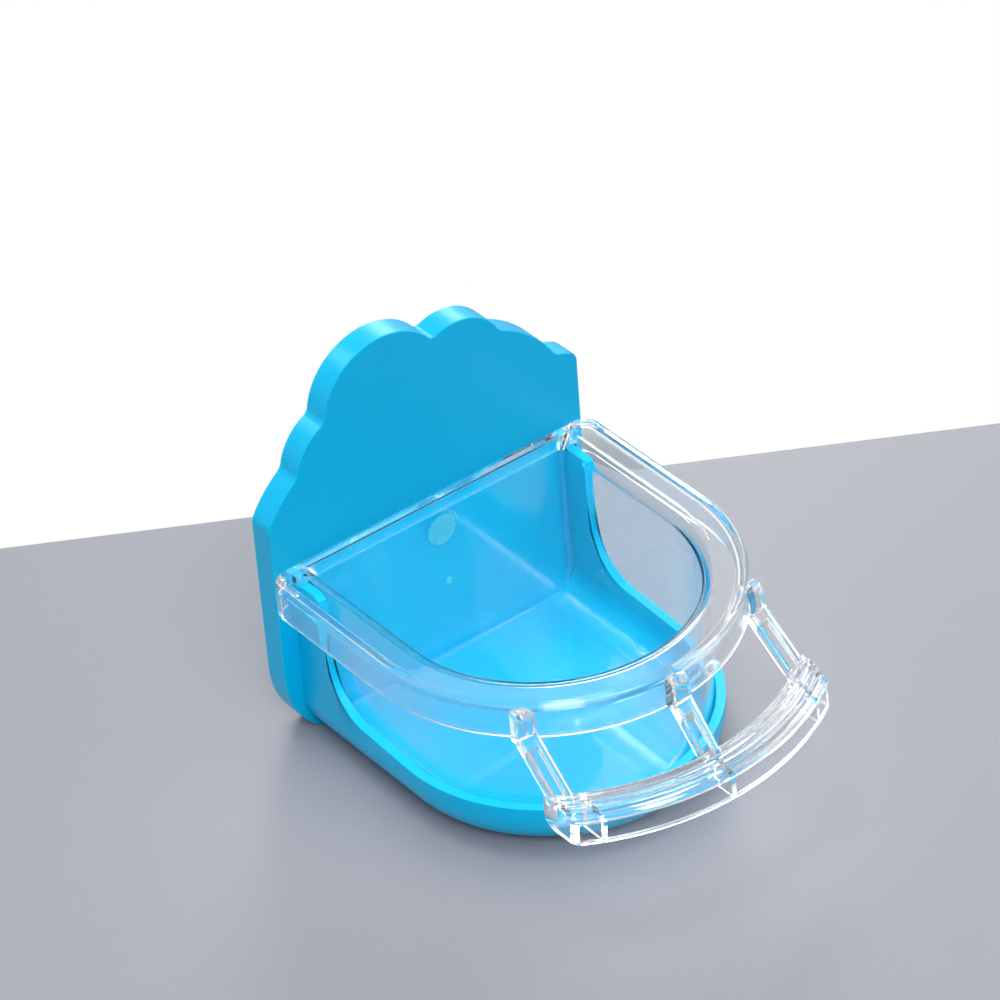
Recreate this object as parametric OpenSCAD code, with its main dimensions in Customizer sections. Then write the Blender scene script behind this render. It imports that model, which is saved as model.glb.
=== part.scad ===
// Bird cage feeder. A scalloped back plate and a scoop-shaped tray are one moulding that hooks
// on a cage, and a clear D-shaped cup with a perch drops into it.
// The origin is on the base, under the middle of the plate's front face. The cage is on the +Y side.

/* [Back plate] */
// Width across the straight sides
plate_w = 90; // [84:1:110]
// Height of the tallest lobe above the base
plate_h = 98; // [90:1:130]
// Depth of the plate with its turned-back edge
plate_depth = 6.5; // [5:0.5:10]
// Thickness of the panel and its turned-back edge
plate_t = 2.2; // [1.8:0.1:3]
// Height at which the lower corners start to round in
corner_h = 18; // [14:0.5:22]
// Inset of each lower corner along the base
corner_w = 8.2; // [6:0.2:10]

/* [Tray] */
// Half width of the tray, which is also the outer radius of its round front
tray_r = 40.3; // [39:0.1:40.5]
// Length of the straight sides before the round front
straight_l = 41.9; // [32:0.1:50]
// Thickness of the tray's walls
tray_wall = 2.2; // [1.8:0.1:3]
// Thickness of the tray's floor
floor_t = 2.5; // [2:0.1:4]
// Height of the lip round the front
lip_h = 13.3; // [12.5:0.1:18]
// Outer rounding of the tray's lower edge
tray_round = 10.5; // [9:0.5:11]
// Inner rounding of the tray where the floor meets the plate
corner_round = 5.5; // [4:0.5:7]
// Distance over which that rounding grows to the full one
corner_run = 14; // [8:1:20]
// Height of the side wings at the plate
wing_h = 44.3; // [40:0.1:45]
// How far the wings stand out from the plate at the top
wing_depth = 10.7; // [8:0.1:14]
// Radius of the sweep from a wing down to the lip
wing_sweep = 14; // [8:1:16]
// Rounding of the wings' upper front corners
wing_corner = 2; // [1:0.5:4]
// Slope of the tray's side edges in front of the sweep, as rise over run
side_slope = 0.06; // [0.02:0.01:0.2]

/* [Cage hooks] */
// Height of the cage wire that the hooks hang on
hook_h = 68; // [62:1:72]
// Distance between the middles of the two hooks
hook_pitch = 30; // [20:1:44]
// Width of one hook
hook_w = 9; // [6:0.5:14]
// Thickness of a hook
hook_t = 2.6; // [2:0.1:4]
// Diameter of the round seat for the cage wire
seat_d = 4.6; // [4.4:0.1:6]
// Length of a hook's tongue below the wire
tongue_l = 9; // [6:0.5:12]

/* [Cup] */
// Clearance between the cup and the tray
cup_gap = 0.35; // [0.3:0.05:0.8]
// Distance of the cup's back wall from the plate
back_gap = 1.6; // [0.6:0.1:2]
// Thickness of the cup's walls and bottom
cup_wall = 1.6; // [1.2:0.1:2]
// Height of the rim's top above the base
rim_h = 49; // [48.5:0.5:60]
// Half width of the rim, which is also the outer radius of its round front
rim_r = 47; // [46:0.5:50]
// Radius with which the cup's wall bends outwards into the rim
throat_r = 4; // [3:0.5:5]
// Depth of the rim's turned-down skirt, from the top
skirt_h = 9.3; // [8:0.1:12]
// Thickness of the skirt
skirt_t = 1.6; // [1.2:0.1:2]
// Rounding of the rim's back corners
rim_corner = 4.5; // [3.5:0.5:5]
// Rounding of the rim's upper outer edge
rim_round = 1.4; // [0.8:0.1:1.5]
// Diameter of the round moulding mark on the cup's back wall
mark_d = 8; // [6:0.5:10]
// Height of that mark's middle above the base
mark_h = 40.3; // [34:0.1:42]

/* [Perch] */
// Inner radius of the curved perch
perch_r = 58.6; // [56:0.1:70]
// Width of the perch
perch_w = 8.8; // [7:0.2:12]
// Height of the perch
perch_h = 8.2; // [7:0.2:10]
// Height of the perch's top above the base
perch_top = 33; // [30:0.5:38]
// How far the perch's top drops towards its outer edge
perch_drop = 2.4; // [1.5:0.1:3]
// Thickness of the perch's walls
perch_wall = 1.5; // [1.2:0.1:2]
// Half width of the perch between its straight ends
perch_half = 37; // [36:0.5:40]
// Rounding of the perch's outer corners, seen from above
perch_corner = 3; // [2:0.5:5]
// Number of grip ridges along the perch's top
ridges = 4; // [3:1:5]
// Height of a grip ridge
ridge_h = 0.5; // [0.3:0.1:0.8]
// Width of an arm
arm_w = 5.2; // [4:0.2:7]
// Thickness of an arm, measured upright
arm_t = 4; // [3:0.5:5]
// Distance of the outer arms from the middle
arm_x = 33; // [28:0.5:34]
// Angle by which the outer arms turn outwards
arm_splay = 3; // [0:1:6]

/* [Hidden] */
$fn = 96;
// Smallest overlap that joins two solids, and the overshoot of a cut
eps = 0.02;
over = 1;
// The scalloped edge as lobes: sideways place, drop below the top and radius, as shares of the width
lobes = [
    [-0.194, 0.583, 0.352],
    [-0.240, 0.321, 0.161],
    [-0.110, 0.193, 0.193],
    [0.120, 0.219, 0.154],
    [0.123, 0.477, 0.348],
    [0.412, 0.444, 0.128]
];
lobe_x = [for (l = lobes) l[0] * plate_w];
lobe_z = [for (l = lobes) plate_h - l[1] * plate_w];
lobe_r = [for (l = lobes) l[2] * plate_w];
last = len(lobes) - 1;
half_w = plate_w / 2;
// Height at which a lobe's circle meets the straight side, for the first and the last lobe
function side_top(i) = lobe_z[i] + sqrt(pow(lobe_r[i], 2) - pow(half_w - abs(lobe_x[i]), 2));
tray_in = tray_r - tray_wall;
tray_round_in = tray_round - tray_wall;
tray_l = tray_r + straight_l;
cup_r = tray_in - cup_gap;
cup_round = tray_round_in + cup_gap;
cup_in = cup_r - cup_wall;
cup_round_in = cup_round - cup_wall;
rim_back = cup_gap;
skirt_z = rim_h - skirt_h;
flange_z = rim_h - cup_wall;
throat_x = cup_in + throat_r;
throat_z = rim_h - throat_r;
corner_x = rim_r - rim_corner;
corner_r = (pow(corner_h, 2) + pow(corner_w, 2)) / (2 * corner_w);
corner_steps = 8;
perch_out = perch_r + perch_w;
perch_z = perch_top - perch_h;
perch_flat = 1.5;
// Radius of the perch's rounded top, from its flat inner strip to its outer edge
crown_r = (pow(perch_w - perch_flat, 2) + pow(perch_drop, 2)) / (2 * perch_drop);
ridge_edge = 1.2;
ridge_pitch = (perch_w - 2 * ridge_edge) / ridges;
end_w = 2;
rib_w = 1.2;
rib_x = perch_half - 6;
perch_turn = 2 * asin(min(0.95, perch_half / perch_r));
mark_t = 0.3;
arm_root = sqrt(pow(rim_r, 2) - pow(arm_x, 2));
arm_drop = 0.8;
boss_l = 3;
boss_h = 6.6;
seat_y = plate_depth + seat_d / 2;
tongue_y = plate_depth + seat_d;

// Rounded lower corner of the plate, from the straight side down to the base
function lower_corner(inset) = [
    for (i = [0 : corner_steps])
        let (
            r = corner_r - inset,
            a = i / corner_steps * asin((corner_h - inset) / r)
        )
        [half_w - corner_r + r * cos(a), corner_h - r * sin(a)]
];

// Outline of the scalloped plate in width and height, drawn in by the given inset
module plate_outline(inset) {
    side = half_w - inset;
    right = lower_corner(inset);
    intersection() {
        union() {
            for (i = [0 : last])
                translate([lobe_x[i], lobe_z[i]])
                    circle(r = lobe_r[i] - inset);
            polygon(concat(
                [[-side, side_top(0) - inset]],
                [for (i = [0 : last]) [lobe_x[i], lobe_z[i]]],
                [[side, side_top(last) - inset]],
                right,
                [for (i = [corner_steps : -1 : 0]) [-right[i][0], right[i][1]]]
            ));
        }
        translate([-side, inset])
            square([2 * side, plate_h]);
    }
}

// Turns a drawing in width and height upright and gives it a depth from y0 to y1
module upright(y0, y1) {
    translate([0, y1, 0])
        rotate([90, 0, 0])
            linear_extrude(y1 - y0)
                children();
}

// Plate with a panel in front and an edge that turns back towards the cage
module back_plate() {
    difference() {
        upright(0, plate_depth) plate_outline(0);
        upright(plate_t, plate_depth + over) plate_outline(plate_t);
    }
}

// Half section of a rounded scoop: radius r, from the given floor up, with its lower edge rounded
module half_section(r, z0, z1, round) {
    translate([0, z0])
        square([r - round, z1 - z0]);
    translate([0, z0 + round])
        square([r, z1 - z0 - round]);
    translate([r - round, z0 + round])
        circle(r = round);
}

// Both halves of that section side by side
module full_section(r, z0, z1, round) {
    half_section(r, z0, z1, round);
    mirror([1, 0])
        half_section(r, z0, z1, round);
}

// Scoop with straight sides and a round front, standing against the plane y = back
module scoop(r, back, z0, z1, round) {
    upright(-straight_l, back)
        full_section(r, z0, z1, round);
    translate([0, -straight_l, 0])
        rotate([0, 0, 180])
            rotate_extrude(angle = 180)
                half_section(r, z0, z1, round);
}

// Side view of the tray: tall wings at the plate that sweep down to the lip
module side_view() {
    line_z = lip_h + side_slope * (straight_l - wing_depth - wing_sweep);
    centre_z = line_z + wing_sweep * sqrt(1 + pow(side_slope, 2));
    foot = wing_depth + wing_sweep;
    square([tray_l, lip_h]);
    square([wing_depth - wing_corner, wing_h]);
    square([wing_depth, wing_h - wing_corner]);
    translate([wing_depth - wing_corner, wing_h - wing_corner])
        circle(r = wing_corner);
    polygon([
        [0, lip_h - eps],
        [straight_l, lip_h - eps],
        [straight_l, lip_h],
        [foot, line_z],
        [0, line_z]
    ]);
    difference() {
        polygon([
            [wing_depth - eps, 0],
            [foot + side_slope * wing_sweep, 0],
            [foot + side_slope * wing_sweep, line_z - pow(side_slope, 2) * wing_sweep],
            [foot, line_z],
            [foot, centre_z],
            [wing_depth - eps, centre_z]
        ]);
        translate([foot, centre_z])
            circle(r = wing_sweep);
    }
}

// Space inside the tray, square-cornered at the plate and widening into the full rounding
module tray_space() {
    hull() {
        upright(-eps, over)
            full_section(tray_in, floor_t, wing_h + over, corner_round, $fn = 32);
        upright(-corner_run, -corner_run + eps)
            full_section(tray_in, floor_t, wing_h + over, tray_round_in, $fn = 32);
    }
    scoop(tray_in, -corner_run + eps, floor_t, wing_h + over, tray_round_in);
}

module tray() {
    difference() {
        intersection() {
            scoop(tray_r, eps, 0, wing_h, tray_round);
            rotate([90, 0, -90])
                translate([0, 0, -tray_r - over])
                    linear_extrude(2 * (tray_r + over))
                        side_view();
        }
        tray_space();
    }
}

// Side view of a hook: a bridge over the wire and a tongue that hangs behind it
module hook_view() {
    difference() {
        union() {
            translate([plate_t - eps, hook_h])
                square([tongue_y + hook_t - plate_t, seat_d / 2 + hook_t]);
            translate([plate_depth - hook_t, hook_h - seat_d / 2])
                square([hook_t + seat_d / 2, seat_d]);
            translate([tongue_y, hook_h - tongue_l])
                square([hook_t, tongue_l + eps]);
            translate([tongue_y + hook_t / 2, hook_h - tongue_l])
                circle(d = hook_t);
        }
        translate([seat_y, hook_h])
            circle(d = seat_d);
        translate([plate_depth, hook_h - tongue_l])
            square([seat_d, tongue_l]);
    }
}

module hooks() {
    for (side = [-1, 1])
        translate([side * hook_pitch / 2 - hook_w / 2, 0, 0])
            rotate([90, 0, 90])
                linear_extrude(hook_w)
                    hook_view();
}

module holder() {
    color("deepskyblue") {
        back_plate();
        tray();
        hooks();
    }
}

// Section of the rim outside the throat, with x measured from the centre of a back corner
module edge_section() {
    translate([rim_corner - skirt_t, skirt_z])
        square([skirt_t, skirt_h - rim_round]);
    translate([0, flange_z])
        square([rim_corner - rim_round, cup_wall]);
    translate([rim_corner - rim_round, rim_h - rim_round])
        circle(r = rim_round);
}

// Section of the throat, where the cup's wall bends outwards, and of the flat flange beside it
module throat_section() {
    intersection() {
        translate([cup_in, throat_z - eps])
            square([throat_r + eps, throat_r + eps]);
        translate([throat_x, throat_z - eps])
            difference() {
                circle(r = throat_r + eps);
                circle(r = throat_r - cup_wall);
            }
    }
    translate([throat_x, flange_z])
        square([corner_x - throat_x + eps, cup_wall]);
}

module rim() {
    // round front
    translate([0, -straight_l, 0])
        rotate([0, 0, 180])
            rotate_extrude(angle = 180) {
                throat_section();
                translate([corner_x, 0])
                    edge_section();
            }
    for (side = [0, 1])
        mirror([side, 0, 0]) {
            // straight side
            upright(-straight_l, -rim_back)
                throat_section();
            upright(-straight_l, -rim_back - rim_corner)
                translate([corner_x, 0])
                    edge_section();
            // back corner
            translate([corner_x, -rim_back - rim_corner, 0])
                rotate_extrude(angle = 90)
                    edge_section();
            // turned-down edge at the back, down to just above the wing
            upright(-rim_back - skirt_t, -rim_back)
                translate([0, wing_h + cup_gap])
                    square([corner_x + eps, rim_h - wing_h - cup_gap]);
            // end of the throat
            upright(-back_gap - cup_wall, -rim_back)
                translate([0, throat_z])
                    square([corner_x + eps, throat_r]);
        }
}

module cup_body() {
    difference() {
        scoop(cup_r, -back_gap, floor_t, throat_z + eps, cup_round);
        scoop(cup_in, -back_gap - cup_wall, floor_t + cup_wall, rim_h + over, cup_round_in);
    }
    // round moulding mark on the inside of the back wall
    translate([0, -back_gap - cup_wall - mark_t, mark_h])
        rotate([-90, 0, 0])
            cylinder(d = mark_d, h = mark_t + eps);
}

// Outer form of the perch's section, with a top that rounds down towards the outside
module crown(inset) {
    translate([perch_r + inset, perch_z])
        square([perch_flat, perch_h - inset]);
    intersection() {
        translate([perch_r + inset, perch_z])
            square([perch_w - 2 * inset, perch_h - inset]);
        translate([perch_r + perch_flat, perch_top - crown_r])
            circle(r = crown_r - inset);
    }
}

// Section of the perch: a channel open below, with grip ridges along the top
module perch_section() {
    difference() {
        crown(0);
        translate([0, -perch_wall])
            crown(perch_wall);
        crown(perch_wall);
    }
    for (i = [0 : ridges]) {
        out = ridge_edge + i * ridge_pitch;
        run = max(0, out - perch_flat);
        translate([perch_r + out, perch_top - crown_r + sqrt(pow(crown_r, 2) - pow(run, 2))])
            circle(r = ridge_h, $fn = 24);
    }
}

module perch_sweep() {
    translate([0, -straight_l, 0])
        rotate([0, 0, 270 - perch_turn / 2])
            rotate_extrude(angle = perch_turn)
                children();
}

// Upright column over a plan, tall enough to cut the perch
module column() {
    linear_extrude(rim_h)
        children();
}

// Upright slice between two sideways places, on both sides
module slices(x0, x1) {
    for (side = [-1, 1])
        translate([side < 0 ? -x1 : x0, -straight_l - perch_out - over])
            square([x1 - x0, perch_out + over]);
}

// Plan of the perch's ends, with rounded outer corners
module perch_plan() {
    x = perch_half - perch_corner;
    y = -straight_l - sqrt(pow(perch_out - perch_corner, 2) - pow(x, 2));
    slices(0, x);
    translate([-perch_half, y])
        square([2 * perch_half, -straight_l - y]);
    for (side = [-1, 1])
        translate([side * x, y])
            circle(r = perch_corner);
}

module perch() {
    intersection() {
        union() {
            perch_sweep() perch_section();
            // end walls and the ribs a little way in from them
            intersection() {
                perch_sweep() crown(0);
                column() {
                    slices(perch_half - end_w, perch_half);
                    slices(rib_x - rib_w, rib_x);
                    slices(0, rib_w / 2);
                }
            }
        }
        column() perch_plan();
    }
}

// Side view of an arm: a boss on the skirt, then a bar that drops steeply to the perch
module arm_view(reach) {
    tip = perch_top - arm_drop;
    polygon([
        [-skirt_t, rim_h - rim_round],
        [0, rim_h - rim_round],
        [boss_l, rim_h - boss_h],
        [reach, tip],
        [reach, tip - arm_t],
        [boss_l - arm_t / 2, skirt_z],
        [-skirt_t, skirt_z]
    ]);
}

module arm(reach) {
    rotate([90, 0, -90])
        translate([0, 0, -arm_w / 2])
            linear_extrude(arm_w)
                arm_view(reach);
}

module arms() {
    middle = perch_r - rim_r + perch_wall / 2;
    outer = sqrt(pow(perch_r, 2) - pow(arm_x, 2)) - arm_root + perch_wall;
    translate([0, -straight_l - rim_r, 0])
        arm(middle);
    for (side = [0, 1])
        mirror([side, 0, 0])
            translate([arm_x, -straight_l - arm_root, 0])
                rotate([0, 0, arm_splay])
                    arm(outer);
}

module cup() {
    color([0.85, 0.93, 0.96, 0.5]) {
        cup_body();
        rim();
        perch();
        arms();
    }
}

holder();
cup();
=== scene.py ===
# Bird cage feeder: a sky-blue holder with a clear drop-in cup, dressed for the product shot.
import math
import bpy
import bmesh
from mathutils import Matrix, Vector


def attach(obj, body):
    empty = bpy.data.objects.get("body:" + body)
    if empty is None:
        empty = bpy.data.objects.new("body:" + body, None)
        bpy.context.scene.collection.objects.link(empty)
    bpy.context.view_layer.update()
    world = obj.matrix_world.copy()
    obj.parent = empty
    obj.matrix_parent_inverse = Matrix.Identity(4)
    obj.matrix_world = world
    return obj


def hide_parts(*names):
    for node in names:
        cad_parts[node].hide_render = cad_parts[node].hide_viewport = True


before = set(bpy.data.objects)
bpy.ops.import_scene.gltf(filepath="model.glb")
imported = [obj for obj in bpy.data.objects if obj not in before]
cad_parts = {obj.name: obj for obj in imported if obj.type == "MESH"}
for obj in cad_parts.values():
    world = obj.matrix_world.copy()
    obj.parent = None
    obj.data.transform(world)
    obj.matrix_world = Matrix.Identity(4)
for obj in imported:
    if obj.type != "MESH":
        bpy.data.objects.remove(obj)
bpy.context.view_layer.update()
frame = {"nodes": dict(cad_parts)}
scene = bpy.context.scene
mm = 0.001
weldDistance = 1e-6    # in metres
sharpAngle = 60        # degrees; edges at least this sharp are rounded
shadeAngle = 32        # degrees; edges at least this sharp are shaded as edges
print("frame loaded:", ", ".join(frame["nodes"]))

# camera at the photograph's angle, on a long lens
shot = {
    "turn": -35.321,     # degrees to the left of straight ahead
    "height": 36.679,    # degrees above level
    "tilt": -4.597,      # degrees of roll
    "distance": 1245.0,
    "lookAt": (-1.49, -30.0, 64.42),
    "focal": 5503.0,     # in pixels of a picture this wide
    "pictureWidth": 1000,
    "sensor": 36,
    "nearest": 0.05,     # in metres, as is the farthest
    "farthest": 20,
}


def placeCamera(settings):
    turn, height, tilt = (math.radians(settings[key]) for key in ("turn", "height", "tilt"))
    back = Vector((math.sin(turn) * math.cos(height), -math.cos(turn) * math.cos(height), math.sin(height)))
    right = Vector((math.cos(turn), math.sin(turn), 0))
    up = back.cross(right)
    rolledRight = right * math.cos(tilt) + up * math.sin(tilt)
    rolledUp = up * math.cos(tilt) - right * math.sin(tilt)
    camera = bpy.data.objects.new("photoCamera", bpy.data.cameras.new("photoCamera"))
    scene.collection.objects.link(camera)
    camera.data.sensor_width = settings["sensor"]
    camera.data.lens = settings["sensor"] * settings["focal"] / settings["pictureWidth"]
    camera.data.clip_start = settings["nearest"]
    camera.data.clip_end = settings["farthest"]
    place = (Vector(settings["lookAt"]) + back * settings["distance"]) * mm
    axes = Matrix((rolledRight, rolledUp, back)).transposed()
    camera.matrix_world = Matrix.Translation(place) @ axes.to_4x4()
    scene.camera = camera


placeCamera(shot)
print("camera placed")


def pick(settings, names):
    return [settings[name] for name in names.split()]


def onlyOf(kind, items):
    return [item for item in items if isinstance(item, kind)]


def newMaterial(name):
    material = bpy.data.materials.new(name)
    material.use_nodes = True
    return material, material.node_tree, material.node_tree.nodes["Principled BSDF"]


def addNoise(tree, scale, detail, roughness):
    place = tree.nodes.new("ShaderNodeTexCoord")
    noise = tree.nodes.new("ShaderNodeTexNoise")
    noise.inputs["Scale"].default_value = scale
    noise.inputs["Detail"].default_value = detail
    noise.inputs["Roughness"].default_value = roughness
    tree.links.new(place.outputs["Object"], noise.inputs["Vector"])
    return noise


def addBump(tree, shader, noise, strength, distance):
    bump = tree.nodes.new("ShaderNodeBump")
    bump.inputs["Strength"].default_value = strength
    bump.inputs["Distance"].default_value = distance
    tree.links.new(noise.outputs["Fac"], bump.inputs["Height"])
    tree.links.new(bump.outputs["Normal"], shader.inputs["Normal"])


# sky-blue moulded polystyrene, a little milky
bluePlastic = {
    "colour": (0.0, 0.455, 0.77),
    "deepColour": (0.0, 0.425, 0.735),
    "roughness": 0.32,
    "shine": 0.4,
    "shineColour": (0.35, 0.85, 1.0),
    "milkiness": 0.2,
    "milkReach": (0.3, 0.9, 1.0),
    "milkDepth": 0.003,
    "cloud": (26.0, 2.0, 0.5),       # scale, detail and roughness of the noise, as in every material
    "grain": (900.0, 3.0, 0.6),
    "grainBump": (0.03, 0.0002),     # strength, and depth in metres
}


def makeBluePlastic(settings):
    material, tree, shader = newMaterial("skyBluePlastic")
    cloud = addNoise(tree, *settings["cloud"])
    blend = tree.nodes.new("ShaderNodeMix")
    blend.data_type = "RGBA"
    blend.inputs[6].default_value = (*settings["deepColour"], 1)
    blend.inputs[7].default_value = (*settings["colour"], 1)
    tree.links.new(cloud.outputs["Fac"], blend.inputs[0])
    tree.links.new(blend.outputs[2], shader.inputs["Base Color"])
    shader.inputs["Roughness"].default_value = settings["roughness"]
    shader.inputs["Specular IOR Level"].default_value = settings["shine"]
    shader.inputs["Specular Tint"].default_value = (*settings["shineColour"], 1)
    shader.inputs["Subsurface Weight"].default_value = settings["milkiness"]
    shader.inputs["Subsurface Radius"].default_value = settings["milkReach"]
    shader.inputs["Subsurface Scale"].default_value = settings["milkDepth"]
    addBump(tree, shader, addNoise(tree, *settings["grain"]), *settings["grainBump"])
    return material


# clear moulded polystyrene of the cup; lamps shine through it
clearPlastic = {
    "colour": (0.965, 0.985, 0.99),
    "roughness": 0.035,
    "ior": 1.48,
    "flow": (60.0, 1.0, 0.4),
    "flowBump": (0.05, 0.0004),
    "shade": (0.94, 0.955, 0.965),    # light that each face lets through to what lies behind
}


def makeClearPlastic(settings):
    material, tree, shader = newMaterial("clearPlastic")
    shader.inputs["Base Color"].default_value = (*settings["colour"], 1)
    shader.inputs["Roughness"].default_value = settings["roughness"]
    shader.inputs["IOR"].default_value = settings["ior"]
    shader.inputs["Transmission Weight"].default_value = 1.0
    addBump(tree, shader, addNoise(tree, *settings["flow"]), *settings["flowBump"])
    lightPath = tree.nodes.new("ShaderNodeLightPath")
    letThrough = tree.nodes.new("ShaderNodeBsdfTransparent")
    letThrough.inputs["Color"].default_value = (*settings["shade"], 1)
    mix = tree.nodes.new("ShaderNodeMixShader")
    tree.links.new(lightPath.outputs["Is Shadow Ray"], mix.inputs[0])
    tree.links.new(shader.outputs["BSDF"], mix.inputs[1])
    tree.links.new(letThrough.outputs["BSDF"], mix.inputs[2])
    tree.links.new(mix.outputs["Shader"], tree.nodes["Material Output"].inputs["Surface"])
    return material


# the moulding mark is matt where the mould was left rough
frostedPlastic = {
    "colour": (0.14, 0.8, 0.95),
    "cover": 0.34,
    "roughness": 0.6,
    "grain": (700.0, 3.0, 0.7),
    "grainBump": (0.6, 0.0003),
}


def makeFrostedPlastic(settings):
    material, tree, shader = newMaterial("frostedPlastic")
    shader.inputs["Base Color"].default_value = (*settings["colour"], 1)
    shader.inputs["Roughness"].default_value = settings["roughness"]
    shader.inputs["Alpha"].default_value = settings["cover"]
    addBump(tree, shader, addNoise(tree, *settings["grain"]), *settings["grainBump"])
    return material


blueMaterial = makeBluePlastic(bluePlastic)
clearMaterial = makeClearPlastic(clearPlastic)
frostedMaterial = makeFrostedPlastic(frostedPlastic)
print("materials made")


def addPiece(shape, name):
    mesh = bpy.data.meshes.new(name)
    shape.to_mesh(mesh)
    shape.free()
    piece = bpy.data.objects.new(name, mesh)
    scene.collection.objects.link(piece)
    return piece


# large flat faces keep their own direction where they meet a rounding
def evenShading(piece):
    weights = piece.modifiers.new("evenShading", "WEIGHTED_NORMAL")
    weights.mode = "FACE_AREA"
    weights.weight = 50
    weights.keep_sharp = True


def dressPiece(piece, material, nodeName):
    mesh = piece.data
    mesh.set_sharp_from_angle(angle=math.radians(shadeAngle))
    evenShading(piece)
    mesh.materials.clear()
    mesh.materials.append(material)
    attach(piece, "root")
    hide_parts(nodeName)
    print(piece.name, "has", len(mesh.polygons), "faces")


def finishPiece(shape, name, material, nodeName):
    bmesh.ops.remove_doubles(shape, verts=shape.verts, dist=weldDistance)
    bmesh.ops.recalc_face_normals(shape, faces=shape.faces)
    for face in shape.faces:
        face.smooth = True
    dressPiece(addPiece(shape, name), material, nodeName)


def isSharp(edge, angle=sharpAngle):
    return len(edge.link_faces) == 2 and edge.calc_face_angle() > math.radians(angle)


def roundEdges(shape, edges, radius, segments):
    bmesh.ops.bevel(shape, geom=edges, offset=radius * mm, offset_type="OFFSET", segments=segments,
                    profile=0.5, affect="EDGES", clamp_overlap=True, material=-1)


# extrudes a face, moves its far end by an offset in metres, and gives the vertices of that end
def pushFace(shape, face, offset):
    made = bmesh.ops.extrude_face_region(shape, geom=[face])["geom"]
    moved = onlyOf(bmesh.types.BMVert, made)
    bmesh.ops.translate(shape, verts=moved, vec=offset)
    return moved


# angles of a quarter turn, from nothing up
def quarter(steps):
    return [math.pi / 2 * step / steps for step in range(steps + 1)]


# plan of a D: round front, straight sides and a straight back with rounded corners
plan = {
    "centre": -41.9,
    "frontSteps": 72,
    "sideSteps": 40,
    "cornerSteps": 8,
    "backSteps": 14,
}
planCount = plan["frontSteps"] + 2 * plan["sideSteps"] + 2 * plan["cornerSteps"] + plan["backSteps"]


# gives the part of the plan, where along it from 0 to 1, and the point
def planPoint(index, radius, back, corner):
    front, side, turn, rear = pick(plan, "frontSteps sideSteps cornerSteps backSteps")
    centre = plan["centre"]
    if index <= front:
        angle = math.pi * (1 + index / front)
        return "front", index / front, radius * math.cos(angle), centre + radius * math.sin(angle)
    index -= front
    if index <= side:
        share = index / side
        return "right", share, radius, centre + (back - corner - centre) * share
    index -= side
    if index <= turn:
        angle = math.pi / 2 * index / turn
        x = radius - corner + corner * math.cos(angle)
        return "corner", index / turn, x, back - corner + corner * math.sin(angle)
    index -= turn
    if index <= rear:
        share = index / rear
        return "back", share, (radius - corner) * (1 - 2 * share), back
    index -= rear
    if index <= turn:
        angle = math.pi / 2 * (1 + index / turn)
        x = -radius + corner + corner * math.cos(angle)
        return "corner", 1 - index / turn, x, back - corner + corner * math.sin(angle)
    index -= turn
    share = 1 - index / side
    return "left", share, -radius, centre + (back - corner - centre) * share


# a closed skin: a ring for the first row, extruded to each next one, with flat caps
def wrapRows(shape, rows, place):
    station = shape.verts.layers.int.new("station")
    ring = bmesh.ops.create_circle(shape, cap_ends=False, segments=planCount, radius=1)["verts"]
    for index, vert in enumerate(ring):
        vert[station] = index
    edges = list({edge for vert in ring for edge in vert.link_edges})
    first = edges
    for number, row in enumerate(rows):
        if number:
            made = bmesh.ops.extrude_edge_only(shape, edges=edges)["geom"]
            ring = onlyOf(bmesh.types.BMVert, made)
            members = set(ring)
            edges = [edge for edge in onlyOf(bmesh.types.BMEdge, made) if set(edge.verts) <= members]
        for vert in ring:
            vert.co = Vector(place(vert[station], row)) * mm
    bmesh.ops.edgeloop_fill(shape, edges=first)
    bmesh.ops.edgeloop_fill(shape, edges=edges)
    bmesh.ops.remove_doubles(shape, verts=shape.verts, dist=weldDistance)


# scoop tray: its wings stand tall at the plate and sweep down to a low lip
tray = {
    "radius": 40.3,
    "wall": 2.2,
    "floor": 2.5,
    "lipHeight": 13.3,
    "edgeRound": 10.5,
    "edgeSteps": 10,
    "wingHeight": 44.3,
    "wingDepth": 10.7,
    "wingCorner": 2.0,
    "wingCornerSteps": 8,
    "sweep": 14.0,
    "sweepSteps": 16,
    "slope": 0.06,
    "lipRound": 0.95,
    "lipSteps": 4,
    "lipMargin": 0.5,        # how far around the lip and the plate's face its edges are looked for
    "intoPlate": 1.0,
    "backCorner": 0.01,
}


# the wing's edge seen from the side, from the plate to the lip, as (y, z)
def wingLine(settings, centre):
    depth, height, corner, sweep = pick(settings, "wingDepth wingHeight wingCorner sweep")
    foot = depth + sweep
    low = settings["lipHeight"] + settings["slope"] * (-centre - foot)
    points = [(settings["intoPlate"], height), (corner - depth, height)]
    for angle in quarter(settings["wingCornerSteps"])[1:]:
        points.append((corner - depth - corner * math.sin(angle), height - corner * (1 - math.cos(angle))))
    for angle in quarter(settings["sweepSteps"]):
        points.append((-foot + sweep * math.cos(angle), low + sweep - sweep * math.sin(angle)))
    points.append((centre, settings["lipHeight"]))
    return points


# point at a share of a line's length
def alongLine(points, share):
    lengths = [math.dist(points[i], points[i + 1]) for i in range(len(points) - 1)]
    left = share * sum(lengths)
    for i, length in enumerate(lengths):
        if left <= length or i == len(lengths) - 1:
            part = min(1.0, left / length)
            return tuple(a + (b - a) * part for a, b in zip(points[i], points[i + 1]))
        left -= length


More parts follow.
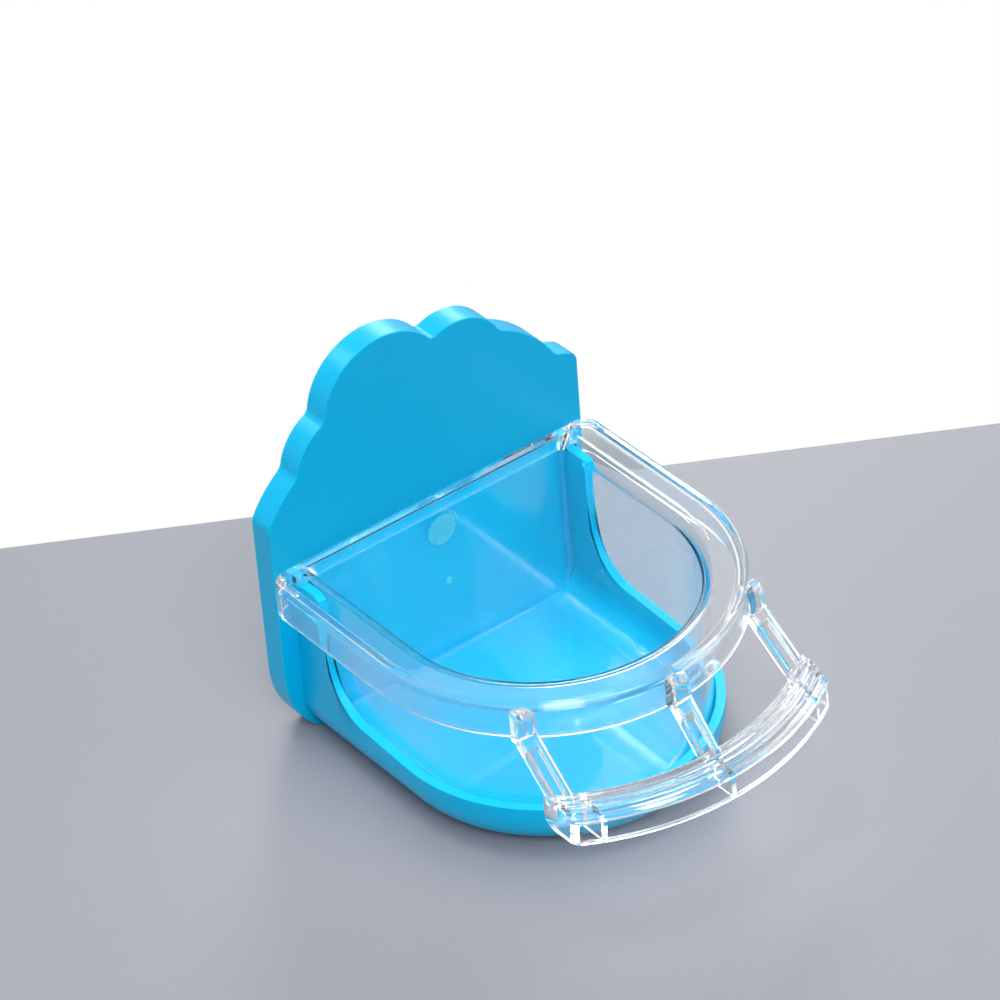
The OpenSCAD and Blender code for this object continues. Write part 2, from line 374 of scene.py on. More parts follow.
def makeTray(settings):
    shape = bmesh.new()
    line = wingLine(settings, plan["centre"])
    radius, wall, floor, edgeRound = pick(settings, "radius wall floor edgeRound")
    steps, margin = settings["edgeSteps"], settings["lipMargin"]
    innerRound = edgeRound - wall
    middle = radius - edgeRound
    # up the outside, over the lip and down the inside
    rows = [("low", middle, 0.0)]
    for angle in quarter(steps)[1:]:
        rows.append(("low", middle + edgeRound * math.sin(angle), edgeRound * (1 - math.cos(angle))))
    rows += [("edge", radius, 0.0), ("edge", radius - wall, 0.0)]
    for step in range(steps + 1):
        angle = math.pi / 2 * (1 - step / steps)
        z = floor + innerRound * (1 - math.cos(angle))
        rows.append(("low", middle + innerRound * math.sin(angle), z))

    def place(index, row):
        kind, reach, z = row
        part, share, x, y = planPoint(index, reach, settings["intoPlate"], settings["backCorner"])
        if kind == "edge":
            z = settings["lipHeight"]
            if part in ("left", "right"):
                y, z = alongLine(line, 1 - share)
            elif part in ("corner", "back"):
                z = settings["wingHeight"]
        return x, y, z

    wrapRows(shape, rows, place)
    topEdges = []
    for edge in shape.edges:
        spot = (edge.verts[0].co + edge.verts[1].co) / 2 / mm
        if spot.y < margin and spot.z > settings["lipHeight"] - margin and isSharp(edge):
            topEdges.append(edge)
    roundEdges(shape, topEdges, settings["lipRound"], settings["lipSteps"])
    finishPiece(shape, "scoopTray", blueMaterial, "holder")


makeTray(tray)


# scalloped back plate with an edge that turns back
plate = {
    "width": 90.0,
    "depth": 6.5,
    "thick": 2.2,
    # sideways place, height and radius of each lobe, from left to right
    "lobes": (
        (-17.46, 45.53, 31.68),
        (-21.6, 69.11, 14.49),
        (-9.9, 80.63, 17.37),
        (10.8, 78.29, 13.86),
        (11.07, 55.07, 31.32),
        (37.08, 58.04, 11.52),
    ),
    "sidePull": 0.4,         # how much being further out counts in the choice of a crossing
    "arcStep": 2.2,
    "fewestSteps": 6,
    "cornerHeight": 18.0,
    "cornerWidth": 8.2,
    "cornerSteps": 10,
    "notchAngle": 14,        # degrees; edges through the plate at least this sharp are softened
    "notchRound": 2.6,
    "notchSteps": 4,
    "foldReach": 3.2,
    "frontRound": 1.8,
    "frontSteps": 5,
    "backRound": 0.5,
    "backSteps": 3,
}


# upper crossing of two lobes, on the side that faces outwards
def crossing(first, second, sidePull):
    (x0, z0, r0), (x1, z1, r1) = first, second
    gap = math.hypot(x1 - x0, z1 - z0)
    along = (r0 ** 2 - r1 ** 2 + gap ** 2) / (2 * gap)
    aside = math.sqrt(r0 ** 2 - along ** 2)
    ux, uz = (x1 - x0) / gap, (z1 - z0) / gap
    spots = [(x0 + along * ux + turn * aside * uz, z0 + along * uz - turn * aside * ux) for turn in (1, -1)]
    outward = 1 if x0 > 0 and x1 > 0 else -1
    return max(spots, key=lambda spot: spot[1] + outward * spot[0] * sidePull)


# extends the outline from a vertex round a centre, and gives the last vertex
def spinArc(shape, start, centre, sweep, steps):
    result = bmesh.ops.spin(shape, geom=[start], cent=Vector((centre[0], 0, centre[1])) * mm, axis=(0, 1, 0),
                            angle=sweep, steps=steps, use_duplicate=False)
    return onlyOf(bmesh.types.BMVert, result["geom_last"])[0]


# the plate's outline as one face: over the lobes, then down to the foot and up on the other side
def plateFace(shape, settings, spots):
    half = settings["width"] / 2
    height, width, steps = pick(settings, "cornerHeight cornerWidth cornerSteps")
    vert = start = shape.verts.new(Vector((spots[0][0], 0, spots[0][1])) * mm)
    for lobe, left, right in zip(settings["lobes"], spots, spots[1:]):
        begin, end = (math.atan2(spot[1] - lobe[1], spot[0] - lobe[0]) for spot in (left, right))
        turn = (begin - end) % (2 * math.pi)
        lobeSteps = max(settings["fewestSteps"], round(lobe[2] * turn / settings["arcStep"]))
        vert = spinArc(shape, vert, lobe[:2], turn, lobeSteps)
    cornerRadius = (height ** 2 + width ** 2) / (2 * width)
    dip = math.asin(height / cornerRadius)
    lowRight = shape.verts.new(Vector((half, 0, height)) * mm)
    shape.edges.new((vert, lowRight))
    vert = spinArc(shape, lowRight, (half - cornerRadius, height), dip, steps)
    lowLeft = shape.verts.new(Vector((-half + width, 0, 0)) * mm)
    shape.edges.new((vert, lowLeft))
    vert = spinArc(shape, lowLeft, (-half + cornerRadius, height), dip, steps)
    shape.edges.new((vert, start))
    bmesh.ops.remove_doubles(shape, verts=shape.verts, dist=10 * weldDistance)
    face = bmesh.ops.contextual_create(shape, geom=shape.edges)["faces"][0]
    bmesh.ops.recalc_face_normals(shape, faces=[face])
    if face.normal.y > 0:
        bmesh.ops.reverse_faces(shape, faces=[face])
    return face


def makePlate(settings):
    shape = bmesh.new()
    half = settings["width"] / 2
    lobes, depth, thick = settings["lobes"], settings["depth"], settings["thick"]
    # where the outline passes from one lobe to the next
    first, last = lobes[0], lobes[-1]
    spots = [(-half, first[1] + math.sqrt(first[2] ** 2 - (half + first[0]) ** 2))]
    spots += [crossing(lobe, follower, settings["sidePull"]) for lobe, follower in zip(lobes, lobes[1:])]
    spots.append((half, last[1] + math.sqrt(last[2] ** 2 - (half - last[0]) ** 2)))
    pushFace(shape, plateFace(shape, settings, spots), (0, depth * mm, 0))
    bmesh.ops.recalc_face_normals(shape, faces=shape.faces)
    # notches between the lobes and the shoulders are softened first
    notches = [edge for edge in shape.edges if abs(edge.verts[0].co.y - edge.verts[1].co.y) > mm
               and isSharp(edge, settings["notchAngle"])]
    roundEdges(shape, notches, settings["notchRound"], settings["notchSteps"])
    # the rear is hollow inside the edge that turns back
    upright = (face for face in shape.faces if abs(face.normal.y) > 0.99)
    rear = max(upright, key=lambda face: face.calc_center_median().y)
    bmesh.ops.inset_individual(shape, faces=[rear], thickness=thick * mm, use_even_offset=True)
    pushed = pushFace(shape, rear, (0, (thick - depth) * mm, 0))
    if rear.is_valid:
        bmesh.ops.delete(shape, geom=[rear], context="FACES_ONLY")
    # the inset folds over itself in the tight corner at the right, so there the recess ends in one point
    reach = settings["foldReach"]
    folded = [vert for vert in pushed if math.dist((vert.co.x / mm, vert.co.z / mm), spots[-1]) < reach]
    bmesh.ops.remove_doubles(shape, verts=folded, dist=reach / 2 * mm)
    bmesh.ops.recalc_face_normals(shape, faces=shape.faces)
    for place, names in ((0, "frontRound frontSteps"), (depth, "backRound backSteps")):
        radius, steps = pick(settings, names)
        rim = [edge for edge in shape.edges if isSharp(edge)
               and all(abs(vert.co.y - place * mm) < weldDistance for vert in edge.verts)]
        roundEdges(shape, rim, radius, steps)
    finishPiece(shape, "scallopedPlate", blueMaterial, "holder")


makePlate(plate)


# hooks on the rear, which drop over a cage wire
hooks = {
    "height": 68.0,
    "pitch": 30.0,
    "width": 9.0,
    "thick": 2.6,
    "seat": 4.6,
    "seatSteps": 12,
    "tongue": 9.0,
    "tongueSteps": 8,
    "chamfer": 1.5,
    "intoPlate": 0.2,
    "round": 0.5,
    "roundSteps": 2,
    "roundAngle": 50,    # degrees; edges at least this sharp are rounded
}


def makeHooks(settings):
    shape = bmesh.new()
    top, seat, thick, chamfer = pick(settings, "height seat thick chamfer")
    root, near = plate["thick"] - settings["intoPlate"], plate["depth"]
    far = near + seat
    low = top - settings["tongue"]
    roof = top + seat / 2 + thick
    outline = [(root, roof), (root, top - seat / 2), (near, top - seat / 2)]
    for step in range(settings["seatSteps"] + 1):
        angle = math.pi * (1 - step / settings["seatSteps"])
        outline.append((near + seat / 2 + seat / 2 * math.cos(angle), top + seat / 2 * math.sin(angle)))
    for step in range(settings["tongueSteps"] + 1):
        angle = math.pi * (1 + step / settings["tongueSteps"])
        outline.append((far + thick / 2 + thick / 2 * math.cos(angle), low + thick / 2 * math.sin(angle)))
    outline += [(far + thick, roof - chamfer), (far + thick - chamfer, roof)]
    for side in (-1, 1):
        left = side * settings["pitch"] / 2 - settings["width"] / 2
        face = shape.faces.new([shape.verts.new(Vector((left, y, z)) * mm) for y, z in outline])
        pushFace(shape, face, (settings["width"] * mm, 0, 0))
    bmesh.ops.recalc_face_normals(shape, faces=shape.faces)
    sharp = [edge for edge in shape.edges if isSharp(edge, settings["roundAngle"])]
    roundEdges(shape, sharp, settings["round"], settings["roundSteps"])
    finishPiece(shape, "cageHooks", blueMaterial, "holder")


makeHooks(hooks)


# joins or cuts with other closed pieces, and keeps the result as the piece's own mesh
def combine(piece, tools, operation):
    for tool in tools:
        change = piece.modifiers.new("join", "BOOLEAN")
        change.operation = operation
        change.solver = "EXACT"
        change.object = tool
        bpy.context.view_layer.update()
        mesh = bpy.data.meshes.new_from_object(piece.evaluated_get(bpy.context.evaluated_depsgraph_get()))
        old = piece.data
        piece.modifiers.clear()
        piece.data = mesh
        bpy.data.meshes.remove(old)
    for tool in tools:
        toolMesh = tool.data
        bpy.data.objects.remove(tool)
        bpy.data.meshes.remove(toolMesh)


# clear cup: bowl, rim that bends outwards and a turned-down skirt
cup = {
    "radius": 37.75,
    "wall": 1.6,
    "bottom": 2.55,
    "bottomRound": 8.65,
    "bottomSteps": 10,
    "backFillet": 1.0,       # inside, where the back wall meets the bottom
    "backWall": -1.6,
    "backCorner": 1.6,
    "rimHeight": 49.0,
    "rimRadius": 47.0,
    "rimBack": -0.35,
    "rimCorner": 4.5,
    "throat": 4.0,
    "throatSteps": 10,
    "throatRise": 0.02,      # the bend ends a touch above the rim's top
    "throatBack": 0.01,
    "rimRound": 1.4,
    "rimSteps": 8,
    "topInset": 0.3,         # flat ring between the rim's rounding and its top
    "bead": 1.8,             # fillet that thickens the rim where the skirt turns down
    "beadSteps": 6,
    "backRound": 0.55,       # the rim's edges along the back
    "skirtBottom": 39.7,
    "skirtWall": 1.6,
    "skirtRound": 0.35,
    "skirtSteps": 5,
    "slotHalf": 42.3,        # the skirt stops short above the tray's wings at the back
    "slotTop": 44.65,
    "barEnds": 1.0,          # the bar along the back stays this much inside the slot's ends
    "barFront": 0.5,         # it reaches this much in front of the back wall
    "barLift": 0.05,         # it starts this much above the slot
    "barBack": 0.8,          # it ends this much in front of the rim's back
    "past": 2.0,             # cutters reach this much past the cup
    "slotPast": 1.0,         # and the slot's this much past the skirt
}


# closed solid on the plan, from rows of (radius, back, corner, height, height at the back)
def planSolid(rows, name):
    shape = bmesh.new()

    def place(index, row):
        reach, back, turn, z, zBack = row
        part, share, x, y = planPoint(index, reach, back, turn)
        if part == "back":
            z = zBack
        elif part == "corner":
            z += (zBack - z) * share
        return x, y, z

    wrapRows(shape, rows, place)
    bmesh.ops.recalc_face_normals(shape, faces=shape.faces)
    return addPiece(shape, name)


def boxSolid(low, high, name):
    shape = bmesh.new()
    bmesh.ops.create_cube(shape, size=1)
    size = [b - a for a, b in zip(low, high)]
    middle = [(a + b) / 2 for a, b in zip(low, high)]
    bmesh.ops.scale(shape, verts=shape.verts, vec=Vector(size) * mm)
    bmesh.ops.translate(shape, verts=shape.verts, vec=Vector(middle) * mm)
    return addPiece(shape, name)


# one side of the bowl: bottom, rounded edge, upright wall and the bend outwards into the rim
def bowlRows(settings, radius, back, bottom, edgeRound, fillet, bend, bendBack, top):
    corner, extra = settings["backCorner"], settings["throatRise"]
    throatLow = settings["rimHeight"] - settings["throat"]
    rows = []
    for angle in quarter(settings["bottomSteps"]):
        inward, upward = 1 - math.sin(angle), 1 - math.cos(angle)
        rows.append((radius - edgeRound * inward, back - fillet * inward, corner,
                     bottom + edgeRound * upward, bottom + fillet * upward))
    for angle in quarter(settings["throatSteps"]):
        outward, upward = 1 - math.cos(angle), math.sin(angle)
        rows.append((radius + bend * outward, back + bendBack * outward, corner,
                     throatLow + (bend + extra) * upward,
                     throatLow + bend - bendBack + (bendBack + extra) * upward))
    reach, rear = rows[-1][:2]
    rows.append((reach, rear, corner, top, top))
    return rows


# lower edge of the skirt from below, drawn in with way -1 and flared out with way 1
def skirtRows(settings, reach, back, corner, way):
    rows = []
    for angle in quarter(settings["skirtSteps"]):
        drawn = way * settings["skirtRound"] * (1 - math.sin(angle))
        z = settings["skirtBottom"] + settings["skirtRound"] * (1 - math.cos(angle))
        rows.append((reach + drawn, back + drawn, corner + drawn, z, z))
    return rows


# the rim as a full block with rounded edges
def rimBlock(settings):
    radius, back, corner, top, rimRound, inset = pick(
        settings, "rimRadius rimBack rimCorner rimHeight rimRound topInset")
    backShare = settings["backRound"] / rimRound
    rows = skirtRows(settings, radius, back, corner, -1)
    for angle in quarter(settings["rimSteps"]):
        drawn, rise = rimRound * (1 - math.cos(angle)), rimRound * (1 - math.sin(angle))
        rows.append((radius - drawn, back - drawn * backShare, corner - drawn,
                     top - rise, top - rise * backShare))
    reach, rear, turn = rows[-1][:3]
    rows.append((reach - inset, rear - inset, turn - inset, top, top))
    return planSolid(rows, "clearCup")


# what is hollow under the rim's flange, open below
def rimHollow(settings):
    wall, bead = settings["wall"], settings["bead"]
    under, rear, turn = (size - settings["skirtWall"] for size in pick(settings, "rimRadius rimBack rimCorner"))
    edge = skirtRows(settings, under, rear, turn, 1)
    low = settings["skirtBottom"] - settings["past"]
    rows = [(*edge[0][:3], low, low)] + edge
    for angle in quarter(settings["beadSteps"]):
        inward, rise = bead * (1 - math.cos(angle)), bead * math.sin(angle)
        z = settings["rimHeight"] - wall - bead + rise
        rows.append((under - inward, rear, turn, z, z))
    return planSolid(rows, "hollow")


def makeCup(settings):
    radius, wall, bottom, bottomRound = pick(settings, "radius wall bottom bottomRound")
    rimTop, rimBack, backWall, throat = pick(settings, "rimHeight rimBack backWall throat")
    half, slotTop, fillet = pick(settings, "slotHalf slotTop backFillet")
    past, slotPast, ends = pick(settings, "past slotPast barEnds")
    rim = rimBlock(settings)
    slotStart = (-half, rimBack - settings["skirtWall"] - slotPast, settings["skirtBottom"] - past)
    slot = boxSolid(slotStart, (half, slotPast, slotTop), "slot")
    combine(rim, [rimHollow(settings), slot], "DIFFERENCE")
    # bowl and the solid bar along the back of the rim
    outerRows = bowlRows(settings, radius, backWall, bottom, bottomRound, fillet + wall, throat - wall,
                         settings["throatBack"], rimTop - wall / 2)
    bar = boxSolid((-half + ends, backWall - wall - settings["barFront"], slotTop + settings["barLift"]),
                   (half - ends, rimBack - settings["barBack"], rimTop - wall / 2), "bar")
    combine(rim, [planSolid(outerRows, "bowl"), bar], "UNION")
    innerRows = bowlRows(settings, radius - wall, backWall - wall, bottom + wall, bottomRound - wall, fillet,
                         throat, settings["backRound"], rimTop + past)
    combine(rim, [planSolid(innerRows, "inside")], "DIFFERENCE")
    return rim


clearCup = makeCup(cup)
print("bowl and rim made")


# perch: a curved channel with grip ridges, rounded ends and ribs inside
perch = {
    "radius": 58.6,
    "width": 8.77,
    "height": 8.2,
    "top": 33.0,
    "flat": 1.5,
    "drop": 2.4,
    "wall": 1.5,
    "half": 37.0,
    "spread": 44,            # degrees that the sweep goes to either side, before the ends are cut
    "sweepSteps": 72,
    "cornerRound": 4.0,
    "cornerSteps": 8,
    "endWall": 2.0,
    "rib": 1.2,
    "ribPlace": 31.0,
    "ridges": 5,
    "ridgeHeight": 0.5,
    "ridgeMargin": 1.2,      # from the section's edge to the first ridge's middle
    "plainMargin": 0.5,      # nearer than this to the edge there is no ridge
    "crownStart": 0.3,
    "ridgedSteps": 48,
    "plainSteps": 10,
    "lip": 0.2,              # the lip along the front's lower edge
    "lipHeight": 1.1,
    "sectionRounds": ((0, 2.8), (1, 0.4), (-3, 0.5), (-1, 0.4)),    # corner of the section and its radius
    "sectionSteps": 4,
    "past": 1.0,             # the hollows reach this much below the perch
}


# section of the perch as (out from its inner wall, height)
def crownOutline(settings, inset, ridged):
    width, flat, drop, lip, top = pick(settings, "width flat drop lip top")
    ridge, margin, plain = pick(settings, "ridgeHeight ridgeMargin plainMargin")
    bottom = top - settings["height"]
    crownRadius = ((width - flat) ** 2 + drop ** 2) / (2 * drop)
    outer = width - inset - lip
    start = settings["crownStart"]
    points = [(inset, bottom - (settings["past"] if inset else 0)), (inset, top - inset)]
    spacing = (width - 2 * margin) / (settings["ridges"] - 1)
    steps = settings["ridgedSteps" if ridged else "plainSteps"]
    for step in range(steps + 1):
        out = inset + start + (outer - inset - start) * step / steps
        run = max(0.0, out - flat)
        z = top - crownRadius + math.sqrt((crownRadius - inset) ** 2 - run ** 2)
        if ridged:
            off = abs((out - margin + spacing / 2) % spacing - spacing / 2)
            if off < ridge and plain < out < width - plain:
                z += math.sqrt(ridge ** 2 - off ** 2)
        points.append((out, z))
    if ridged:
        lipTop = bottom + settings["lipHeight"]
        points += [(outer, lipTop + lip), (width, lipTop), (width, bottom)]
    else:
        points.append((outer, bottom - settings["past"]))
    return points


# upright planes that round the perch's outer corners off, as (point, normal)
def cornerPlanes(settings):
    turn, steps = settings["cornerRound"], settings["cornerSteps"]
    along, across = settings["half"] - turn, settings["radius"] + settings["width"] - settings["lip"] - turn
    last = math.acos(along / across)
    planes = []
    for step in range(steps):
        angle = last * (step + 0.5) / steps
        for side in (-1, 1):
            normal = Vector((side * math.cos(angle), -math.sin(angle), 0))
            middle = Vector((side * along, plan["centre"] - across * math.sin(last), 0))
            planes.append(((middle + turn * normal) * mm, normal))
    return planes


# a section swept round the plan's centre and cut off between two sideways places
def sweepSection(settings, outline, fromX, toX, rounds=(), planes=()):
    shape = bmesh.new()
    inner = plan["centre"] - settings["radius"]
    verts = [shape.verts.new(Vector((0, inner - out, z)) * mm) for out, z in outline]
    shape.faces.new(verts)
    for vert, radius in [(verts[index], radius) for index, radius in rounds]:
        bmesh.ops.bevel(shape, geom=[vert], offset=radius * mm, offset_type="OFFSET",
                        segments=settings["sectionSteps"], profile=0.5, affect="VERTICES", clamp_overlap=True,
                        material=-1)
    middle, spread = Vector((0, plan["centre"], 0)) * mm, settings["spread"]
    turned = Matrix.Rotation(math.radians(-spread), 3, "Z")
    bmesh.ops.rotate(shape, verts=shape.verts, cent=middle, matrix=turned)
    bmesh.ops.spin(shape, geom=list(shape.faces), cent=middle, axis=(0, 0, 1), angle=math.radians(2 * spread),
                   steps=settings["sweepSteps"], use_duplicate=False)
    bmesh.ops.remove_doubles(shape, verts=shape.verts, dist=weldDistance / 10)
    ends = [((fromX * mm, 0, 0), (-1, 0, 0)), ((toX * mm, 0, 0), (1, 0, 0))]
    for point, normal in ends + list(planes):
        geometry = list(shape.verts) + list(shape.edges) + list(shape.faces)
        cut = bmesh.ops.bisect_plane(shape, geom=geometry, plane_co=point, plane_no=normal, clear_outer=True)
        bmesh.ops.contextual_create(shape, geom=onlyOf(bmesh.types.BMEdge, cut["geom_cut"]))
    bmesh.ops.recalc_face_normals(shape, faces=shape.faces)
    return shape


def makePerch(settings):
    half, rib, place = settings["half"], settings["rib"], settings["ribPlace"]
    outside = crownOutline(settings, 0, True)
    solid = sweepSection(settings, outside, -half, half, settings["sectionRounds"], cornerPlanes(settings))
    piece = addPiece(solid, "curvedPerch")
    hollows = []
    inside = crownOutline(settings, settings["wall"], False)
    for near, far in ((rib / 2, place - rib), (place, half - settings["endWall"])):
        for left, right in ((near, far), (-far, -near)):
            hollows.append(addPiece(sweepSection(settings, inside, left, right), "hollow"))
    combine(piece, hollows, "DIFFERENCE")
    return piece


# arms that carry the perch, each on a boss on the skirt
arms = {
    "places": (-33.0, 0.0, 33.0),
    "splay": 3.0,
    "width": 5.2,
    "thick": 4.0,
    "bossReach": 3.0,
    "bossDrop": 6.6,
    "bossTop": 48.3,
    "bossCurve": ((0.3, 0.0), (0.8, 1.3), (1.0, 3.4)),    # share of the boss's reach, and fall from its top
    "bossLift": 0.1,         # above the skirt's lower edge
    "intoSkirt": 0.6,        # share of the skirt's wall that the boss goes into
    "intoPerch": 0.7,        # share of the perch's wall that the tip goes into
    "tipDrop": 0.8,
    "round": 0.7,
    "roundSteps": 3,
    "grooveWall": 1.2,
    "grooveRoof": 1.6,
    "grooveStart": 1.2,      # from the boss
    "grooveEnd": 0.3,        # from the perch's inner wall
    "grooveRound": 0.3,
}


# a bar of even width, drawn from the side as (out, height)
def sideBar(outline, width, radius, steps):
    shape = bmesh.new()
    face = shape.faces.new([shape.verts.new(Vector((-width / 2, -out, z)) * mm) for out, z in outline])
    pushFace(shape, face, (width * mm, 0, 0))
    bmesh.ops.recalc_face_normals(shape, faces=shape.faces)
    roundEdges(shape, list(shape.edges), radius, steps)
    return shape


def makeArm(settings, place):
    rim, ring = cup["rimRadius"], perch["radius"]
    root = math.sqrt(rim ** 2 - place ** 2)
    reach = math.sqrt(ring ** 2 - place ** 2) - root + perch["wall"] * settings["intoPerch"]
    tip = perch["top"] - settings["tipDrop"]
    into = cup["skirtWall"] * settings["intoSkirt"]
    bossReach, bossTop, thick = settings["bossReach"], settings["bossTop"], settings["thick"]
    bossLow = cup["rimHeight"] - settings["bossDrop"]
    foot = cup["skirtBottom"] + settings["bossLift"]
    outline = [(-into, bossTop)]
    outline += [(bossReach * share, bossTop - fall) for share, fall in settings["bossCurve"]]
    outline += [(bossReach, bossLow), (reach, tip), (reach, tip - thick)]
    outline += [(bossReach - thick / 2, foot), (-into, foot)]
    width, steps = settings["width"], settings["roundSteps"]
    solid = sideBar(outline, width, settings["round"], steps)
    # groove below the arm, under a roof that follows its slope
    slope = (tip - bossLow) / (reach - bossReach)
    start, end = bossReach + settings["grooveStart"], reach - perch["wall"] - settings["grooveEnd"]
    roof = [(out, bossLow + slope * (out - bossReach) - settings["grooveRoof"]) for out in (start, end)]
    groove = sideBar(roof + [(end, roof[1][1] - thick), (start, roof[0][1] - thick)],
                     width - 2 * settings["grooveWall"], settings["grooveRound"], steps)
    side = (place > 0) - (place < 0)
    splayed = Matrix.Rotation(math.radians(settings["splay"] * side), 3, "Z")
    pieces = []
    for shape in (solid, groove):
        bmesh.ops.rotate(shape, verts=shape.verts, cent=(0, 0, 0), matrix=splayed)
        bmesh.ops.translate(shape, verts=shape.verts, vec=Vector((place, plan["centre"] - root, 0)) * mm)
        pieces.append(addPiece(shape, "arm"))
    combine(pieces[0], [pieces[1]], "DIFFERENCE")
    return pieces[0]


def finishCup(piece, material):
    combine(piece, [makePerch(perch)] + [makeArm(arms, place) for place in arms["places"]], "UNION")
    shape = bmesh.new()
    shape.from_mesh(piece.data)
    bmesh.ops.remove_doubles(shape, verts=shape.verts, dist=2 * weldDistance)
    bmesh.ops.dissolve_degenerate(shape, edges=shape.edges, dist=2 * weldDistance)
    for face in shape.faces:
        face.smooth = True
    shape.to_mesh(piece.data)
    shape.free()
    dressPiece(piece, material, "cup")


finishCup(clearCup, clearMaterial)


# round matt mark and small nub left by the mould on the cup's back wall
mark = {
    "discs": (((0.3, -3.2, 40.3), 4.0), ((1.1, -3.2, 24.9), 0.9)),    # place and radius of mark and nub
    "steps": 48,
    "thick": 0.25,
    "round": 0.1,
    "roundSteps": 2,
    "clearance": 0.01,
}


def makeMark(settings):
    shape = bmesh.new()
    upright = Matrix.Rotation(math.radians(90), 3, "X")
    for place, radius in settings["discs"]:
        made = bmesh.ops.create_circle(shape, cap_ends=True, segments=settings["steps"], radius=radius * mm)
        disc = made["verts"]
        face = disc[0].link_faces[0]
        both = disc + pushFace(shape, face, (0, 0, settings["thick"] * mm))
        rims = {edge for vert in both for edge in vert.link_edges if isSharp(edge)}
        bmesh.ops.rotate(shape, verts=both, cent=(0, 0, 0), matrix=upright)
        clearance = Vector((0, settings["clearance"] * mm, 0))
        bmesh.ops.translate(shape, verts=both, vec=Vector(place) * mm - clearance)
        roundEdges(shape, list(rims), settings["round"], settings["roundSteps"])
    finishPiece(shape, "mouldMark", frostedMaterial, "cup")


makeMark(mark)


# pale floor that ends behind the object, a white backdrop and soft studio light
studio = {
    "floorColour": (0.262, 0.268, 0.303),
    "floorRoughness": 0.45,
    "floorSize": 12.0,
    "farEdge": ((-0.0445, 0.1033), (0.1562, -0.0175)),    # two points on the floor's far edge
    "worldColour": (1.0, 1.0, 1.0),
    "ambient": 0.65,         # what lights the object
    "backdrop": 1.0,         # what the camera sees
    "mirrored": (0.35, 1.0),         # what mirror-like and clear surfaces see below and above
    "mirrorChange": (-0.12, 0.03),   # how steeply upwards they look where that change begins and ends
    # place, aim, width and height of each lamp, its power, whether it lights matt surfaces,
    # and whether it shows in shiny and clear ones
    "lamps": {
        "overhead": ((-0.08, 0.15, 1.2), (0, -0.04, 0.04), 0.4, 0.4, 5.5, True, False),
        "topFront": ((-0.3, -0.9, 1.1), (0, -0.04, 0.04), 0.8, 0.8, 5.0, True, True),
        "leftFront": ((-0.8, -1.5, 1.7), (0, -0.04, 0.04), 0.8, 0.8, 12.0, True, True),
        "rightBack": ((0.654, 0.779, 0.523), (0.174, 0.134, -0.074), 0.4, 0.4, 3.0, True, True),
        "strip": ((1.08, -0.3, 0.9), (0, -0.05, 0.03), 1.9, 0.45, 13.0, False, True),
        "backLeft": ((-0.36, 0.82, 0.89), (0, -0.04, 0.04), 0.35, 0.35, 2.4, False, True),
    },
}


def makeFloor(settings):
    left, right = (Vector((*point, 0)) for point in settings["farEdge"])
    along = (right - left).normalized()
    away = Vector((-along.y, along.x, 0))
    half = settings["floorSize"] / 2
    shape = bmesh.new()
    bmesh.ops.create_grid(shape, x_segments=1, y_segments=1, size=half)
    turn = Matrix.Rotation(math.atan2(along.y, along.x), 3, "Z")
    bmesh.ops.rotate(shape, verts=shape.verts, cent=(0, 0, 0), matrix=turn)
    bmesh.ops.translate(shape, verts=shape.verts, vec=(left + right) / 2 - away * half)
    floor = addPiece(shape, "floor")
    material, _, shader = newMaterial("paleFloor")
    shader.inputs["Base Color"].default_value = (*settings["floorColour"], 1)
    shader.inputs["Roughness"].default_value = settings["floorRoughness"]
    floor.data.materials.append(material)


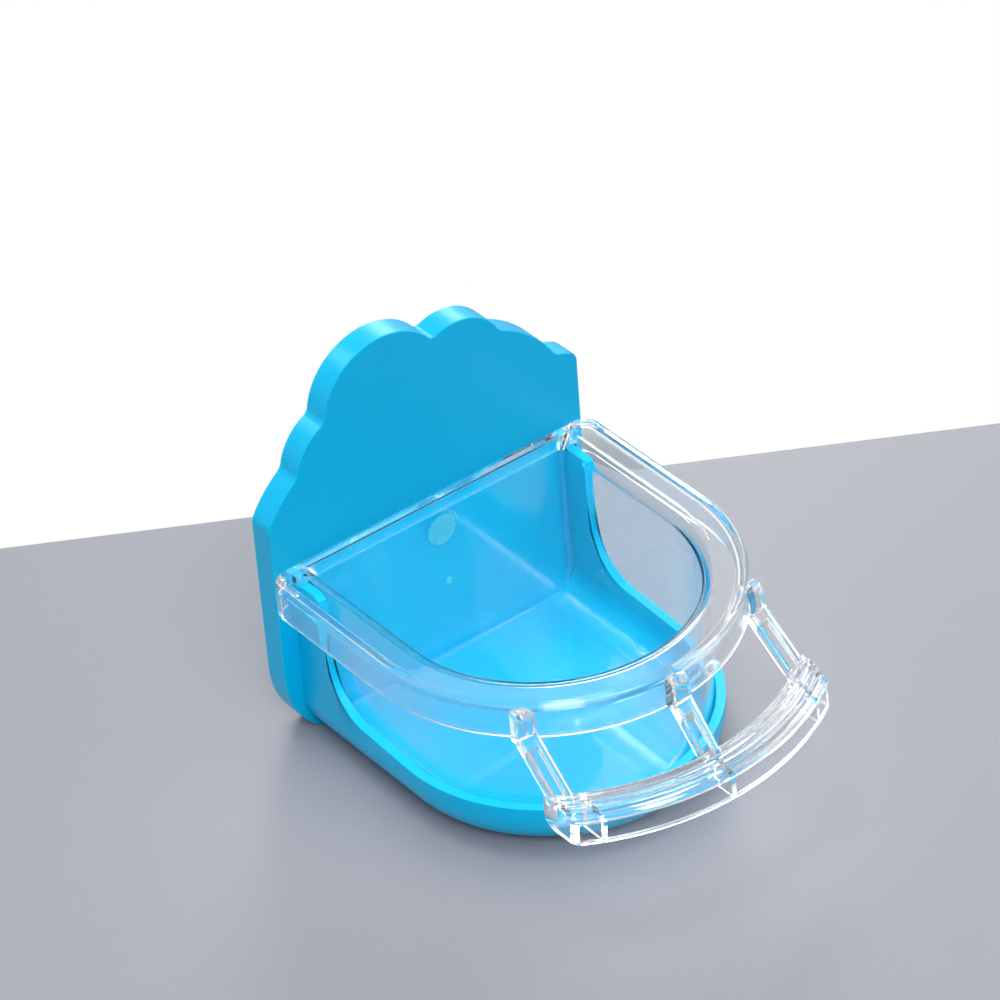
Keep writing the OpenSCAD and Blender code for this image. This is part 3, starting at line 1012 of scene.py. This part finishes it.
def makeWorld(settings):
    world = bpy.data.worlds.new("softSky")
    scene.world = world
    world.use_nodes = True
    nodes, links = world.node_tree.nodes, world.node_tree.links
    ambient = nodes["Background"]
    backdrop = nodes.new("ShaderNodeBackground")
    mirrored = nodes.new("ShaderNodeBackground")
    for node in (ambient, backdrop, mirrored):
        node.inputs["Color"].default_value = (*settings["worldColour"], 1)
    ambient.inputs["Strength"].default_value = settings["ambient"]
    backdrop.inputs["Strength"].default_value = settings["backdrop"]
    lightPath = nodes.new("ShaderNodeLightPath")
    direction = nodes.new("ShaderNodeTexCoord")
    parts = nodes.new("ShaderNodeSeparateXYZ")
    ramp = nodes.new("ShaderNodeMapRange")
    ramp.interpolation_type = "SMOOTHSTEP"
    for socket, value in zip((1, 2, 3, 4), settings["mirrorChange"] + settings["mirrored"]):
        ramp.inputs[socket].default_value = value
    links.new(direction.outputs["Generated"], parts.inputs[0])
    links.new(parts.outputs["Z"], ramp.inputs[0])
    links.new(ramp.outputs[0], mirrored.inputs["Strength"])
    either = nodes.new("ShaderNodeMath")
    either.operation = "MAXIMUM"
    links.new(lightPath.outputs["Is Glossy Ray"], either.inputs[0])
    links.new(lightPath.outputs["Is Transmission Ray"], either.inputs[1])
    shown = ambient.outputs[0]
    for seen, shader in ((either.outputs[0], mirrored), (lightPath.outputs["Is Camera Ray"], backdrop)):
        mix = nodes.new("ShaderNodeMixShader")
        links.new(seen, mix.inputs[0])
        links.new(shown, mix.inputs[1])
        links.new(shader.outputs[0], mix.inputs[2])
        shown = mix.outputs[0]
    links.new(shown, nodes["World Output"].inputs["Surface"])


def makeLamps(settings):
    for name, (place, aim, width, height, power, lights, mirrored) in settings["lamps"].items():
        lamp = bpy.data.lights.new(name, "AREA")
        lamp.shape = "ELLIPSE"
        lamp.size = width
        lamp.size_y = height
        lamp.energy = power
        carrier = bpy.data.objects.new(name, lamp)
        scene.collection.objects.link(carrier)
        carrier.visible_diffuse = lights
        carrier.visible_glossy = carrier.visible_transmission = mirrored
        carrier.location = place
        carrier.rotation_euler = (Vector(aim) - Vector(place)).to_track_quat("-Z", "Y").to_euler()


makeFloor(studio)
makeWorld(studio)
makeLamps(studio)
scene.view_settings.view_transform = "Standard"
# the clear rim and perch bend and mirror light many times
scene.cycles.max_bounces = 32
scene.cycles.transmission_bounces = 32
scene.cycles.glossy_bounces = 24
scene.cycles.transparent_max_bounces = 32
print("studio lit")
